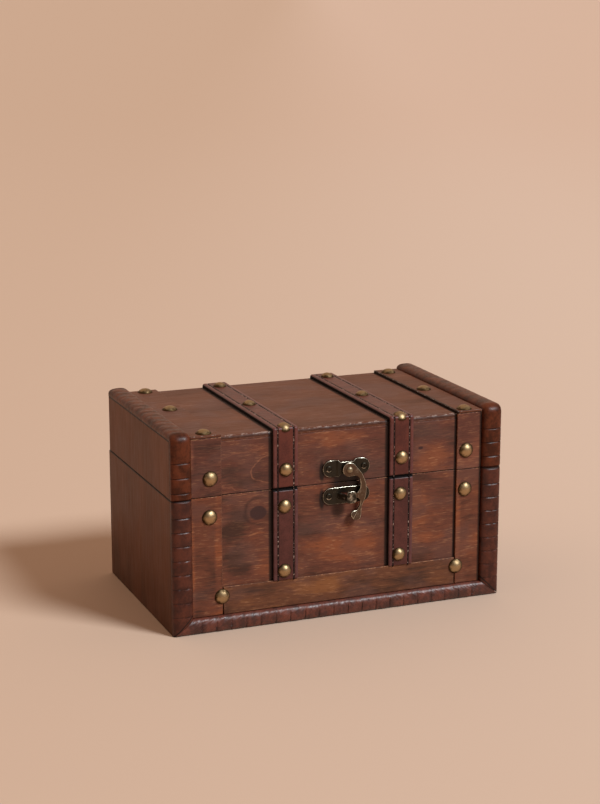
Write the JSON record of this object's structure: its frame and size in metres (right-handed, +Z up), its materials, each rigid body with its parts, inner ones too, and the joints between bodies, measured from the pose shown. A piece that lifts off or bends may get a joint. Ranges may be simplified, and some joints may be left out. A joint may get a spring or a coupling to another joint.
{
  "type": "keepsake chest",
  "caption": "Small wooden chest with a hinged lid, half-round carved corner mouldings, flat slats, leather straps, dome-headed nails and a swing-hook latch.",
  "frame": {"origin": "centre of the flat underside, on the surface that the chest stands on", "axes": "+X to the chest's right as its latch is faced, +Y to the back, +Z up"},
  "size_m": [0.21, 0.1333, 0.1211],
  "materials": {
    "wood": "red-brown stain under gloss lacquer",
    "moulding": "dark red-brown stain under gloss lacquer",
    "leather": "smooth maroon leather, satin",
    "brass": "antique brass, worn satin",
    "bronze": "dark antique bronze plating, satin"
  },
  "bodies": {
    "box": {"body_back_panel": "wood", "body_base_moulding": "moulding", "body_base_slat": "wood", "body_floor": "wood", "body_front_panel": "wood", "body_left_base_nail": "brass", "body_left_moulding": "moulding", "body_left_panel": "wood", "body_left_slat": "wood", "body_left_slat_nail": "brass", "body_left_strap": "leather", "body_left_strap_lower_nail": "brass", "body_left_strap_upper_nail": "brass", "body_right_base_nail": "brass", "body_right_moulding": "moulding", "body_right_panel": "wood", "body_right_slat": "wood", "body_right_slat_nail": "brass", "body_right_strap": "leather", "body_right_strap_lower_nail": "brass", "body_right_strap_upper_nail": "brass", "catch_plate": "bronze", "left_hinge_body_leaf": "bronze", "left_hinge_pin": "bronze", "right_hinge_body_leaf": "bronze", "right_hinge_pin": "bronze"},
    "lid": {"latch_plate": "bronze", "latch_rivet": "bronze", "left_hinge_lid_leaf": "bronze", "lid_back_panel": "wood", "lid_front_panel": "wood", "lid_left_front_slat": "wood", "lid_left_moulding": "moulding", "lid_left_panel": "wood", "lid_left_slat_front_nail": "brass", "lid_left_slat_top_nail_1": "brass", "lid_left_slat_top_nail_2": "brass", "lid_left_slat_top_nail_3": "brass", "lid_left_strap": "leather", "lid_left_strap_front_nail": "brass", "lid_left_strap_top_nail_1": "brass", "lid_left_strap_top_nail_2": "brass", "lid_left_strap_top_nail_3": "brass", "lid_left_top_slat": "wood", "lid_right_front_slat": "wood", "lid_right_moulding": "moulding", "lid_right_panel": "wood", "lid_right_slat_front_nail": "brass", "lid_right_slat_top_nail_1": "brass", "lid_right_slat_top_nail_2": "brass", "lid_right_slat_top_nail_3": "brass", "lid_right_strap": "leather", "lid_right_strap_front_nail": "brass", "lid_right_strap_top_nail_1": "brass", "lid_right_strap_top_nail_2": "brass", "lid_right_strap_top_nail_3": "brass", "lid_right_top_slat": "wood", "lid_top_panel": "wood", "right_hinge_lid_leaf": "bronze"},
    "hook": {"latch_horn": "bronze"}
  },
  "joints": [
    {"name": "lid_hinge", "type": "hinge", "parent": "box", "child": "lid", "pos_m": [0, 0.06455, 0.08135], "axis": [-1, 0, 0], "range_deg": [0, 175]},
    {"name": "hook_pivot", "type": "hinge", "parent": "lid", "child": "hook", "pos_m": [0.005, -0.06245, 0.0893], "axis": [0, -1, 0], "range_deg": [0, 75]}
  ]
}
